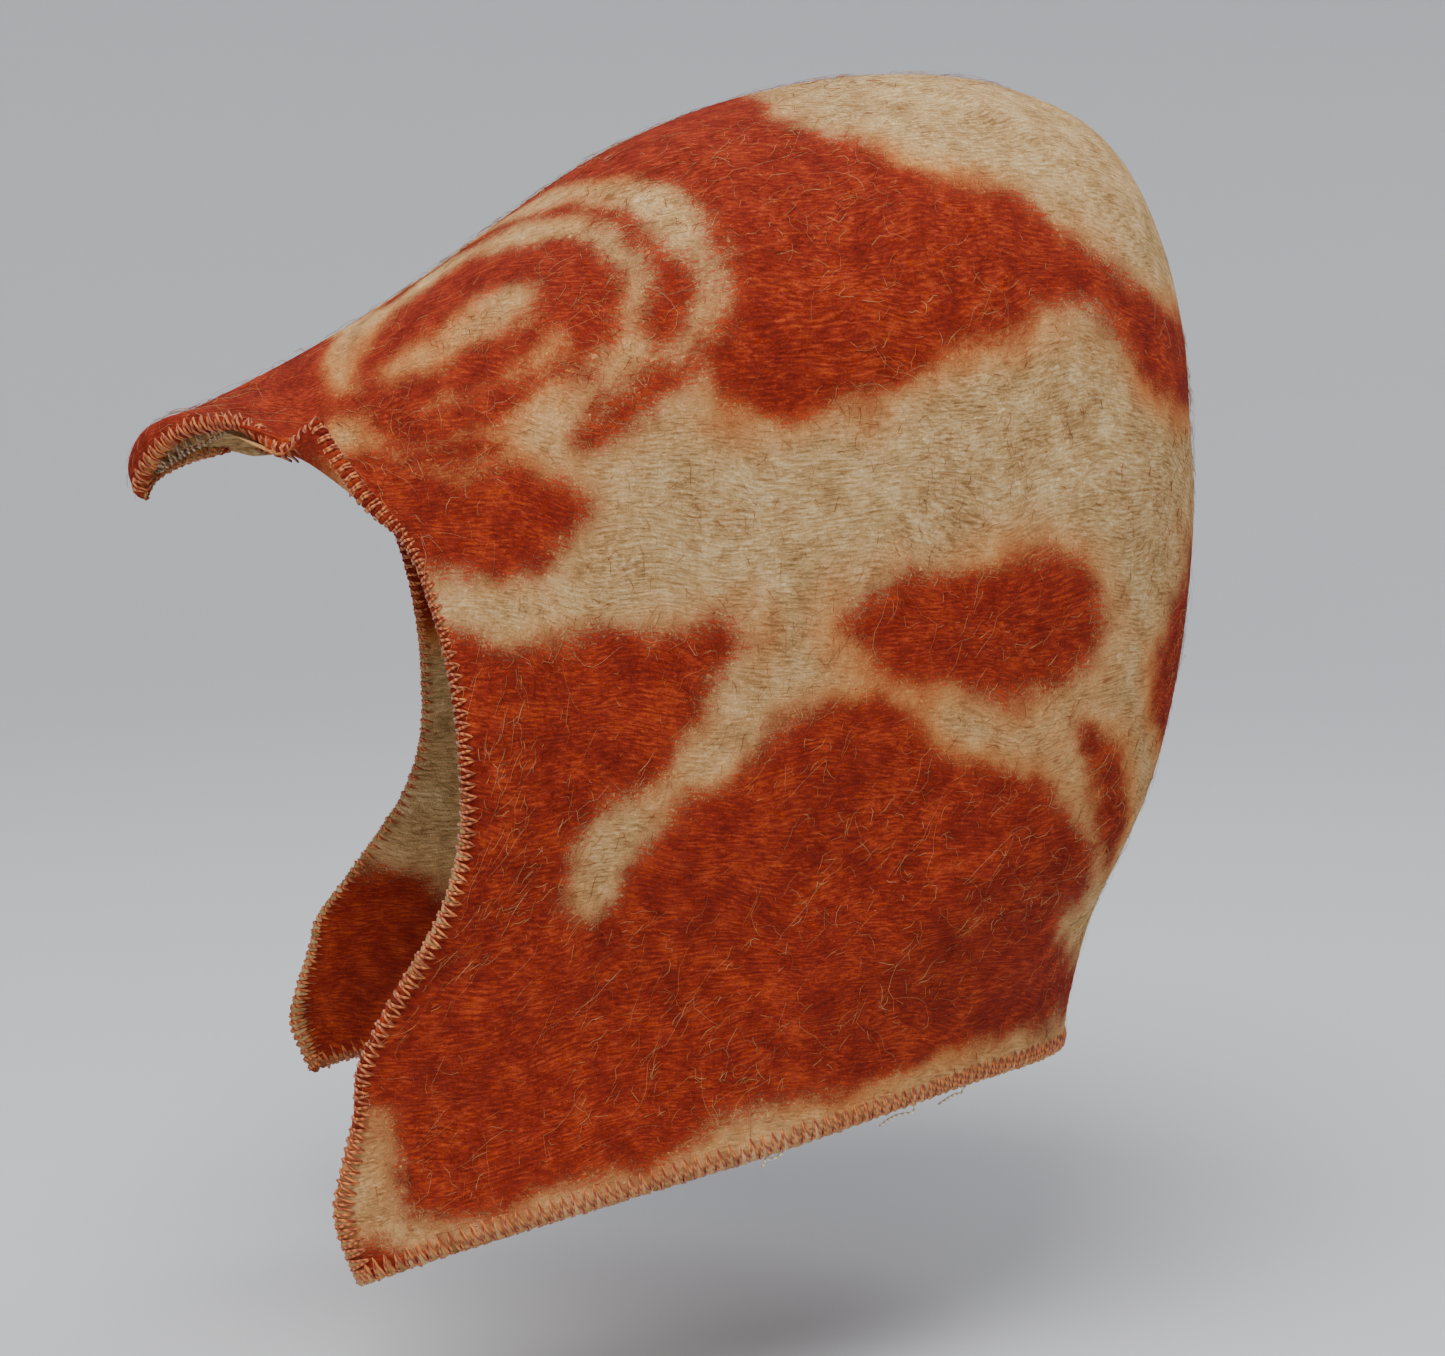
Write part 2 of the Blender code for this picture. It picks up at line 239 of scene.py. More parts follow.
    def slopes(self, along: Array, across: Array) -> tuple[Array, ...]:
        """Unit vectors along both ways of the cloth, and the millimetres to a share of each."""
        step = 0.002
        near_a, far_a = np.clip(along - step, 0, 1), np.clip(along + step, 0, 1)
        near_b, far_b = np.clip(across - step, 0, 1), np.clip(across + step, 0, 1)
        down = self.surface(far_a, across) - self.surface(near_a, across)
        side = self.surface(along, far_b) - self.surface(along, near_b)
        long_a = np.linalg.norm(down, axis=-1) / (far_a - near_a)
        long_b = np.linalg.norm(side, axis=-1) / (far_b - near_b)
        return unit(down), unit(side), long_a, long_b

    def settle(self, points: Array, side: Side) -> Array:
        """Puts points of the left half on their side and lets them hang as the CAD part does."""
        x, y, z = points[..., 0] * side.value, points[..., 1], points[..., 2]
        turn = math.radians(self.peak_twist) * ease(-y, -self.brow_y, -self.peak_tip_y)
        axis = np.array(self.peak_axis, float)
        height = np.interp(y, axis[:, 0], axis[:, 1])
        above = z - height
        right = ease(-x, 20, 50)
        forward = self.right_flap_forward * right * ease(-y, 105, 153) * ease(-z, 186, 271)
        lift = self.right_flap_lift * right * ease(-y, 105, 153) * ease(-z, 226, 296)
        settled_x = x * np.cos(turn) - above * np.sin(turn)
        settled_z = height + x * np.sin(turn) + above * np.cos(turn)
        return np.stack([settled_x, y - forward, settled_z + lift], axis=-1)

    def cloth(self, along: Array, across: Array, steps: int = 48) -> Array:
        """Where a place lies on the flat cloth, in millimetres, with the face edge left as it is.

        Each rib is laid out straight from its face end, at its true length.
        """
        knots = np.linspace(0, 1, 240)
        share = np.linspace(0, 1, steps + 1)
        ribs = self.surface(knots[:, None], share[None, :])
        pieces = np.linalg.norm(np.diff(ribs, axis=1), axis=-1)
        run = np.concatenate([np.zeros((len(knots), 1)), np.cumsum(pieces, axis=1)], axis=1)
        heading = unit(ribs[:, 0, 1:] - ribs[:, -1, 1:])
        flat = ribs[:, -1, None, 1:] + heading[:, None, :] * (run[:, -1:] - run)[..., None]
        a = np.clip(np.asarray(along, float) * (len(knots) - 1), 0, len(knots) - 1 - 1e-9)
        b = np.clip(np.asarray(across, float) * steps, 0, steps - 1e-9)
        i, j = a.astype(int), b.astype(int)
        fa, fb = (a - i)[..., None], (b - j)[..., None]
        first = flat[i, j] * (1 - fb) + flat[i, j + 1] * fb
        second = flat[i + 1, j] * (1 - fb) + flat[i + 1, j + 1] * fb
        return first * (1 - fa) + second * fa


FORM = HoodForm()


@dataclass(frozen=True)
class Blotch:
    """A dyed patch on the flat cloth: its outline in whole millimetres, as (forward-back, up)."""

    outline: Points
    samples_per_side: int = 5

    def curve(self) -> Array:
        """The closed smooth outline."""
        given = np.array(self.outline, float)
        before, after = np.roll(given, 1, axis=0), np.roll(given, -1, axis=0)
        later = np.roll(given, -2, axis=0)
        t = np.linspace(0, 1, self.samples_per_side, endpoint=False)[None, :, None]
        a, b, c, d = (p[:, None, :] for p in (before, given, after, later))
        smooth = 0.5 * (2 * b + (c - a) * t + (2 * a - 5 * b + 4 * c - d) * t**2
                        + (3 * b - a - 3 * c + d) * t**3)
        return smooth.reshape(-1, 2)

    def depth(self, places: Array, shift: tuple[float, float]) -> Array:
        """How deep places lie inside the outline.

        Args:
            places: Places on the flat cloth, as (n, 2).
            shift: How far the blotch is moved from where it is drawn.

        Returns:
            Distances to the outline, negative outside it.
        """
        start = self.curve() + np.array(shift)
        end = np.roll(start, -1, axis=0)
        nearest = np.full(len(places), np.inf)
        inside = np.zeros(len(places), bool)
        for p, q in zip(start, end):
            edge = q - p
            t = np.clip((places - p) @ edge / max(edge @ edge, 1e-9), 0, 1)
            gap = places - p - t[:, None] * edge
            nearest = np.minimum(nearest, (gap**2).sum(axis=1))
            level = (p[1] > places[:, 1]) != (q[1] > places[:, 1])
            if level.any():
                cross_at = p[0] + (places[:, 1] - p[1]) / (q[1] - p[1] + 1e-12) * (q[0] - p[0])
                inside ^= level & (places[:, 0] < cross_at)
        return np.sqrt(nearest) * np.where(inside, 1, -1)


# The blotches of the cloth, front of the hood at negative values.
CROWN_BAND = Blotch([
    (-104, 8), (-84, 20), (-60, 38), (-44, 42), (-26, 40), (-34, 2), (-22, -13), (-3, -26),
    (20, -34), (45, -45), (62, -50), (84, -56), (92, -70), (80, -74), (65, -73), (53, -67),
    (42, -63), (31, -58), (21, -58), (10, -60), (0, -64), (-10, -70), (-22, -79), (-33, -81),
    (-52, -83), (-65, -81), (-69, -71), (-64, -63), (-60, -54), (-59, -42), (-64, -33),
    (-70, -19), (-82, -6), (-94, -3)])
FOREHEAD_HOOK = Blotch([
    (-146, -52), (-126, -29), (-109, -31), (-97, -35), (-90, -42), (-87, -49), (-90, -58),
    (-93, -68), (-100, -75), (-113, -83), (-129, -90), (-139, -90), (-146, -80), (-152, -66)])
HOOK_EYE = Blotch([
    (-142, -64), (-132, -57), (-123, -52), (-112, -48), (-105, -50), (-108, -60), (-115, -65),
    (-125, -71), (-137, -72), (-143, -70)])
HOOK_STREAK = Blotch([(-134, -81), (-120, -78), (-109, -74), (-99, -66), (-103, -65), (-118, -73)])
OUTER_RING = Blotch([
    (-140, -24), (-118, -6), (-100, -12), (-88, -20), (-80, -28), (-74, -38), (-71, -49),
    (-74, -64), (-78, -62), (-76, -50), (-79, -41), (-84, -32), (-92, -24), (-104, -18),
    (-118, -13), (-136, -28)])
BROW_RED = Blotch([
    (-160, -96), (-144, -94), (-132, -100), (-124, -103), (-119, -99), (-113, -97), (-105, -98),
    (-97, -101), (-93, -105), (-97, -112), (-104, -118), (-117, -122), (-128, -124),
    (-140, -124), (-158, -116)])
BROW_STREAK = Blotch([(-139, -95), (-126, -89), (-119, -92), (-126, -96)])
RED_DASH = Blotch([
    (-99, -90), (-89, -81), (-81, -75), (-68, -70), (-66, -78), (-76, -79), (-86, -87), (-94, -92)])
PEAK_PATCH = Blotch([
    (-250, -122), (-240, -90), (-207, -40), (-190, -24), (-168, -30), (-166, -54), (-160, -66),
    (-151, -70), (-143, -66), (-134, -56), (-128, -78), (-138, -80), (-154, -76), (-163, -78),
    (-172, -100), (-196, -112), (-240, -130)])
SIDE_FIELD = Blotch([
    (-160, -142), (-130, -138), (-117, -140), (-102, -140), (-87, -137), (-69, -134), (-57, -139),
    (-64, -149), (-71, -159), (-81, -171), (-93, -181), (-98, -192), (-99, -202), (-94, -209),
    (-88, -206), (-82, -196), (-64, -178), (-43, -160), (-28, -155), (-16, -160), (-8, -171),
    (6, -180), (21, -183), (30, -190), (38, -198), (44, -212), (36, -222), (46, -231), (66, -238),
    (74, -250), (34, -259), (5, -264), (-23, -267), (-49, -272), (-81, -280), (-108, -286),
    (-137, -290), (-141, -286), (-144, -269), (-148, -256), (-170, -250), (-168, -200)])
BACK_OVAL = Blotch([
    (-33, -136), (-20, -128), (-4, -123), (17, -119), (33, -126), (38, -137), (33, -148),
    (21, -155), (-1, -154), (-19, -151), (-29, -144)])
BACK_SLIVER = Blotch([
    (80, -118), (92, -116), (100, -134), (94, -156), (76, -170), (63, -160), (66, -142)])
NAPE_SLIVER = Blotch([(35, -166), (47, -176), (55, -192), (53, -204), (44, -194), (40, -182),
                      (33, -170)])
NAPE_PATCH = Blotch([(86, -190), (104, -186), (112, -206), (102, -236), (88, -240), (80, -214)])
FLAP_TIP = Blotch([(-166, -296), (-148, -293), (-132, -297), (-140, -310), (-162, -312)])

RIGHT_FIELD = Blotch([
    (-160, -150), (-128, -146), (-104, -150), (-84, -144), (-60, -150), (-52, -160), (-70, -172),
    (-84, -190), (-70, -198), (-48, -176), (-20, -160), (6, -168), (30, -186), (46, -206),
    (52, -228), (70, -240), (72, -252), (30, -261), (-23, -272), (-70, -284), (-104, -288),
    (-116, -270), (-118, -246), (-134, -228), (-168, -222), (-168, -190)])
RIGHT_CROWN = Blotch([
    (-96, 12), (-60, 44), (-20, 48), (4, 20), (30, -6), (52, -30), (78, -40), (84, -62), (60, -72),
    (36, -64), (8, -76), (-20, -92), (-50, -86), (-66, -62), (-62, -36), (-78, -8)])
RIGHT_NAPE = Blotch([
    (74, -126), (100, -118), (118, -150), (110, -190), (92, -200), (84, -176), (66, -156)])


# The depth that marks undyed wool: far outside any blotch.
UNDYED_MM = -20.0


@dataclass(frozen=True)
class DyePlan:
    """Where a half of the hood is orange and where it is cream."""

    orange: tuple[Blotch, ...]
    cream: tuple[Blotch, ...]
    shift: tuple[float, float] = (0.0, 0.0)

    def depth(self, places: Array) -> Array:
        """Millimetres inside the orange, negative in the cream, at places on the flat cloth."""
        deepest = np.max([blotch.depth(places, self.shift) for blotch in self.orange], axis=0)
        islands = np.max([blotch.depth(places, self.shift) for blotch in self.cream], axis=0)
        return np.minimum(deepest, -islands)


DYE_PLANS = {
    Side.LEFT: DyePlan(
        (CROWN_BAND, FOREHEAD_HOOK, OUTER_RING, BROW_RED, BROW_STREAK, RED_DASH, PEAK_PATCH,
         SIDE_FIELD, BACK_OVAL, BACK_SLIVER, NAPE_SLIVER, NAPE_PATCH, FLAP_TIP),
        (HOOK_EYE, HOOK_STREAK)),
    Side.RIGHT: DyePlan(
        (RIGHT_CROWN, FOREHEAD_HOOK, BROW_RED, RED_DASH, PEAK_PATCH, RIGHT_FIELD, BACK_OVAL,
         RIGHT_NAPE, NAPE_PATCH),
        (HOOK_EYE,), (5.0, -4.0)),
}


def linear(hex_colour: str) -> tuple[float, float, float, float]:
    """Turns an sRGB hex colour into linear RGBA."""
    parts = [int(hex_colour[i : i + 2], 16) / 255 for i in (1, 3, 5)]
    return (*[c / 12.92 if c <= 0.04045 else ((c + 0.055) / 1.055) ** 2.4 for c in parts], 1.0)


def add_node(tree: Tree, kind: str, values: dict | None = None, links: dict | None = None,
             stops: list[tuple[float, str]] | None = None, **settings) -> bpy.types.Node:
    """Adds a shader node.

    Args:
        tree: The material's node tree.
        kind: The node's type, without the ShaderNode prefix.
        values: Socket values, by socket name or number.
        links: Sockets to read from, by this node's socket name or number.
        stops: For a colour ramp, its places and sRGB colours.
        **settings: Properties of the node itself.

    Returns:
        The new node.
    """
    node = tree.nodes.new("ShaderNode" + kind)
    for name, value in settings.items():
        setattr(node, name, value)
    for name, value in (values or {}).items():
        node.inputs[name].default_value = value
    for name, source in (links or {}).items():
        tree.links.new(source, node.inputs[name])
    for number, (place, colour) in enumerate(stops or []):
        elements = node.color_ramp.elements
        element = elements[number] if number < len(elements) else elements.new(place)
        element.position = place
        element.color = linear(colour)
    return node


def new_material(name: str, values: dict) -> tuple[bpy.types.Material, Add, bpy.types.Node]:
    """A material with nodes.

    Args:
        name: Its name.
        values: The surface shader's socket values, by socket name.

    Returns:
        The material, a function that adds a node to it, and its surface shader.
    """
    material = bpy.data.materials.new(name)
    material.use_nodes = True
    shader = material.node_tree.nodes["Principled BSDF"]
    for socket, value in values.items():
        shader.inputs[socket].default_value = value
    return material, partial(add_node, material.node_tree), shader


@dataclass(frozen=True)
class WoolFelt:
    """Milled blanket wool: dyed fleece, carded, woven and fulled until the weave is gone.

    The eye gets a dull, deep surface of tangled fibres, with pale hairs over a darker ground, dye
    edges drawn out along the hairs, and a yellow bleed on one side of many blotches.
    """

    name: str = "milled_blanket_wool"
    orange: tuple[str, str, str] = ("#761400", "#962200", "#C64302")
    cream: tuple[str, str, str] = ("#9C7444", "#D4A86C", "#F0D09A")
    bleed: tuple[str, str] = ("#CC5A08", "#E8963C")
    smoke: str = "#A0604A"
    smoke_share: float = 0.35
    roughness: float = 0.95
    sheen: float = 0.02
    sheen_roughness: float = 0.6
    specular: float = 0.08
    cloud_mm: float = 22.0
    cloud_wander_mm: float = 6.0
    fibre_wander_mm: float = 5.5
    hair_wander_mm: float = 1.375
    dye_edge_mm: tuple[float, float] = (-2.6, 2.2)
    smoke_edge_mm: tuple[float, float] = (-3.5, 0.0)
    bleed_edge_mm: tuple[float, float] = (-13.0, 0.5)
    bleed_patch_mm: float = 60.0
    lump_mm: float = 8.0
    swirl_scale: float = 14.0
    swirl_reach_m: float = 0.035
    lay_deg: float = -20.0
    fibre_length_mm: float = 3.6
    fibre_width_mm: float = 0.7
    fleck_mm: float = 1.4
    pale_hair_share: float = 0.3
    bump_m: float = 0.0012

    def make(self) -> bpy.types.Material:
        """Builds the material from the attributes dye_mm and reverse and the cloth's own UV map."""
        material, add, shader = new_material(self.name, {
            "Roughness": self.roughness, "Sheen Weight": self.sheen,
            "Sheen Roughness": self.sheen_roughness, "Specular IOR Level": self.specular})
        place = add("TexCoord").outputs["Object"]
        fibres, hairs = self.fibres(add), self.hairs(add, place)
        lumps = self.clouds(add, place, self.lump_mm, 3.0)
        depth = self.dye_depth(add, place, fibres, hairs)
        link = material.node_tree.links.new
        link(self.colours(add, place, depth, fibres, hairs, lumps), shader.inputs["Base Color"])
        height = self.weighted_sum(add, [(fibres, 0.5), (hairs, 0.35), (lumps, 0.5)])
        bump = add("Bump", {"Strength": 0.9, "Distance": self.bump_m}, {"Height": height})
        link(bump.outputs["Normal"], shader.inputs["Normal"])
        return material

    def clouds(self, add: Add, place: Socket, size_mm: float, detail: float = 2.0,
               offset: float = 0.0) -> Socket:
        """Cloud noise whose features are about size_mm across."""
        moved = add("Mapping", {"Location": (offset, offset, offset)}, {"Vector": place})
        noise = add("TexNoise", {"Scale": 1 / (size_mm * MM), "Detail": detail},
                    {"Vector": moved.outputs["Vector"]})
        return noise.outputs["Fac"]

    def fibres(self, add: Add) -> Socket:
        """Bundles of hair drawn out along the nap, which swirls slowly over the cloth."""
        cloth = add("UVMap", uv_map="cloth").outputs["UV"]
        swirl = add("TexNoise", {"Scale": self.swirl_scale, "Detail": 2.0}, {"Vector": cloth})
        centred = add("VectorMath", {1: (0.5, 0.5, 0.5)}, {0: swirl.outputs["Color"]},
                      operation="SUBTRACT")
        drift = add("VectorMath", {"Scale": self.swirl_reach_m}, {0: centred.outputs["Vector"]},
                    operation="SCALE")
        bent = add("VectorMath", links={0: cloth, 1: drift.outputs["Vector"]}, operation="ADD")
        stretch = (1 / (self.fibre_length_mm * MM), 1 / (self.fibre_width_mm * MM), 1)
        lay = add("Mapping", {"Rotation": (0, 0, math.radians(self.lay_deg)), "Scale": stretch},
                  {"Vector": bent.outputs["Vector"]})
        noise = add("TexNoise", {"Scale": 1.0, "Detail": 5.0, "Roughness": 0.65},
                    {"Vector": lay.outputs["Vector"]})
        return noise.outputs["Fac"]

    def hairs(self, add: Add, place: Socket) -> Socket:
        """Single tangled hairs as thin crooked ridges, 1 near a hair and 0 away from it."""
        noise = add("TexNoise", {"Scale": 1 / (self.fleck_mm * MM), "Detail": 4.0,
                                 "Roughness": 0.7, "Distortion": 1.6}, {"Vector": place})
        ridge = add("Math", {1: 0.5}, {0: noise.outputs["Fac"]}, operation="SUBTRACT")
        size = add("Math", links={0: ridge.outputs[0]}, operation="ABSOLUTE")
        return add("MapRange", {"From Min": 0.0, "From Max": 0.16, "To Min": 1.0, "To Max": 0.0},
                   {"Value": size.outputs[0]}).outputs[0]

    def dye_depth(self, add: Add, place: Socket, fibres: Socket, hairs: Socket) -> Socket:
        """Millimetres inside the orange, turned over on the reverse, with a ragged edge."""
        dye, reverse = (add("Attribute", attribute_name=name).outputs["Fac"]
                        for name in ("dye_mm", "reverse"))
        turn = add("MapRange", {"To Min": 1.0, "To Max": -1.0}, {"Value": reverse})
        depth = add("Math", links={0: dye, 1: turn.outputs[0]}, operation="MULTIPLY").outputs[0]
        cloud = self.clouds(add, place, self.cloud_mm, 4.0)
        for source, reach in ((cloud, self.cloud_wander_mm), (fibres, self.fibre_wander_mm),
                              (hairs, self.hair_wander_mm)):
            shift = add("MapRange", {"From Min": 0.2, "From Max": 0.8, "To Min": -reach,
                                     "To Max": reach}, {"Value": source}, clamp=False)
            depth = add("Math", links={0: depth, 1: shift.outputs[0]}, operation="ADD").outputs[0]
        return depth

    def colours(self, add: Add, place: Socket, depth: Socket, fibres: Socket, hairs: Socket,
                lumps: Socket) -> Socket:
        """The wool's colour, from how deep in the orange a place is and how its hairs lie."""
        blend = self.weighted_sum(add, [(fibres, 0.68), (lumps, 0.32)])
        spread = add("MapRange", {"From Min": 0.37, "From Max": 0.63}, {"Value": blend}).outputs[0]
        orange, cream, yellow = (
            add("ValToRGB", links={"Fac": spread}, stops=list(zip(places, colours))).outputs["Color"]
            for places, colours in (((0.0, 0.5, 1.0), self.orange), ((0.0, 0.5, 1.0), self.cream),
                                    ((0.2, 0.9), self.bleed)))
        patches = self.clouds(add, place, self.bleed_patch_mm, 2.0, 3.7)
        side = add("MapRange", {"From Min": 0.4, "From Max": 0.6, "To Min": 0.25},
                   {"Value": patches})
        near_bleed, near_smoke, in_orange = (
            add("MapRange", {"From Min": low, "From Max": high}, {"Value": depth}).outputs[0]
            for low, high in (self.bleed_edge_mm, self.smoke_edge_mm, self.dye_edge_mm))
        soaked = add("Math", links={0: near_bleed, 1: side.outputs[0]}, operation="MULTIPLY")
        smoky = add("Math", {1: self.smoke_share}, {0: near_smoke}, operation="MULTIPLY")
        cream = add("Mix", links={0: soaked.outputs[0], 6: cream, 7: yellow},
                    data_type="RGBA").outputs[2]
        cream = add("Mix", {7: linear(self.smoke)}, {0: smoky.outputs[0], 6: cream},
                    data_type="RGBA").outputs[2]
        colour = add("Mix", links={0: in_orange, 6: cream, 7: orange}, data_type="RGBA").outputs[2]
        hair = add("Math", {1: self.pale_hair_share}, {0: hairs}, operation="MULTIPLY")
        pale = add("HueSaturation", {"Saturation": 0.9, "Value": 1.7}, {"Color": colour})
        return add("Mix", links={0: hair.outputs[0], 6: colour, 7: pale.outputs["Color"]},
                   data_type="RGBA").outputs[2]

    def weighted_sum(self, add: Add, parts: list[tuple[Socket, float]]) -> Socket:
        """The sum of several values, each times its weight."""
        (first, weight), *others = parts
        total = add("Math", {1: weight}, {0: first}, operation="MULTIPLY").outputs[0]
        for source, weight in others:
            total = add("Math", {1: weight}, {0: source, 2: total},
                        operation="MULTIPLY_ADD").outputs[0]
        return total


@dataclass(frozen=True)
class Thread:
    """Spun polyester overlocking thread: two plies with a slight lustre and a fine twist."""

    name: str
    dark: str
    light: str
    ply_mm: float = 0.5
    wear_mm: float = 6.0
    roughness: float = 0.55

    def make(self) -> bpy.types.Material:
        """Builds the material, with the plies as slanted bands along the thread."""
        material, add, shader = new_material(self.name, {"Roughness": self.roughness,
                                                         "Sheen Weight": 0.2})
        place = add("TexCoord").outputs["Object"]
        wear = add("TexNoise", {"Scale": 1 / (self.wear_mm * MM), "Detail": 4.0}, {"Vector": place})
        plies = add("TexWave", {"Scale": 0.16 / (self.ply_mm * MM), "Distortion": 2.0,
                                "Detail": 1.0}, {"Vector": place}, bands_direction="DIAGONAL")
        both = add("Math", links={0: wear.outputs["Fac"], 1: plies.outputs["Fac"]},
                   operation="MULTIPLY")
        colour = add("ValToRGB", links={"Fac": both.outputs[0]},
                     stops=[(0.05, self.dark), (0.55, self.light)])
        bump = add("Bump", {"Strength": 0.5, "Distance": 0.0002}, {"Height": plies.outputs["Fac"]})
        link = material.node_tree.links.new
        link(colour.outputs["Color"], shader.inputs["Base Color"])
        link(bump.outputs["Normal"], shader.inputs["Normal"])
        return material


FELT_WOOL = WoolFelt().make()
EDGE_THREAD = Thread("orange_overlock_thread", "#8A3408", "#DE7E34").make()
SEAM_THREAD = Thread("cream_seam_thread", "#7A5A3A", "#D8BE97").make()
LOOSE_THREAD = Thread("undyed_thread_tail", "#B7A488", "#EFE6D2").make()


def tag_cloth(mesh: bpy.types.Mesh, places: Array, side: Side, reverse: Array,
              dye: Array | None = None) -> None:
    """Gives a mesh its place on the flat cloth, as UVs in metres, and its dye.

    Args:
        mesh: The mesh to mark.
        places: Each vertex's place on the flat cloth, in millimetres.
        side: The half that the cloth belongs to.
        reverse: 1 at vertices that show the cloth's reverse and 0 elsewhere.
        dye: Millimetres inside the orange, worked out from the places if left out.
    """
    if dye is None:
        dye = DYE_PLANS[side].depth(places)
    for name, values in (("dye_mm", dye), ("reverse", reverse)):
        layer = mesh.attributes.new(name, "FLOAT", "POINT")
        layer.data.foreach_set("value", np.asarray(values, np.float32))
    corners = np.empty(len(mesh.loops), np.int32)
    mesh.loops.foreach_get("vertex_index", corners)
    uv = (places * MM)[corners] + (0 if side is Side.LEFT else 0.7)
    mesh.uv_layers.new(name="cloth").data.foreach_set("uv", uv.astype(np.float32).ravel())


def in_scene(name: str, data: bpy.types.ID) -> Piece:
    """A new object of the scene that holds this mesh, curve, light or camera."""
    thing = bpy.data.objects.new(name, data)
    bpy.context.scene.collection.objects.link(thing)
    return thing


def finish_piece(name: str, mesh: bpy.types.Mesh, points: Array,
                 material: bpy.types.Material) -> Piece:
    """Makes a mesh an object, with its points in place.

    Args:
        name: The piece's name.
        mesh: The mesh, already with its faces.
        points: Where its vertices go, in millimetres.
        material: What it is made of.

    Returns:
        The new object, at the origin.
    """
    mesh.vertices.foreach_set("co", (points * MM).astype(np.float32).ravel())
    mesh.update()
    work = bmesh.new()
    work.from_mesh(mesh)
    if work.calc_volume(signed=True) < 0:
        bmesh.ops.reverse_faces(work, faces=work.faces[:])
        work.to_mesh(mesh)
    work.free()
    mesh.shade_smooth()
    mesh.materials.clear()
    mesh.materials.append(material)
    mesh.name = name
    return in_scene(name, mesh)


def bevelled_mesh(name: str, path: Array, radii: Array | float,
                  sides: int = 1) -> bpy.types.Mesh:
    """The mesh of a round thread along a path.

    Args:
        name: The mesh's name.
        path: Points in millimetres, as (n, 3) or, for many separate threads, (threads, n, 3).
        radii: The thread's radius in millimetres, one for all or one for each point.
        sides: The curve's bevel resolution.

    Returns:
        The mesh, in metres.
    """
    threads = path if path.ndim == 3 else path[None]
    sizes = np.broadcast_to(np.asarray(radii, float), threads.shape[:2])
    curve = bpy.data.curves.new(name, "CURVE")
    curve.dimensions = "3D"
    curve.bevel_depth = MM
    curve.bevel_resolution = sides
    curve.use_fill_caps = True
    for thread, size in zip(threads, sizes):
        spline = curve.splines.new("POLY")
        spline.points.add(len(thread) - 1)
        flat = np.concatenate([thread * MM, np.ones((len(thread), 1))], axis=1)
        spline.points.foreach_set("co", flat.astype(np.float32).ravel())
        spline.points.foreach_set("radius", size.astype(np.float32))
    holder = in_scene(name, curve)
    graph = bpy.context.evaluated_depsgraph_get()
    mesh = bpy.data.meshes.new_from_object(holder.evaluated_get(graph))
    bpy.data.objects.remove(holder)
    bpy.data.curves.remove(curve)
    return mesh


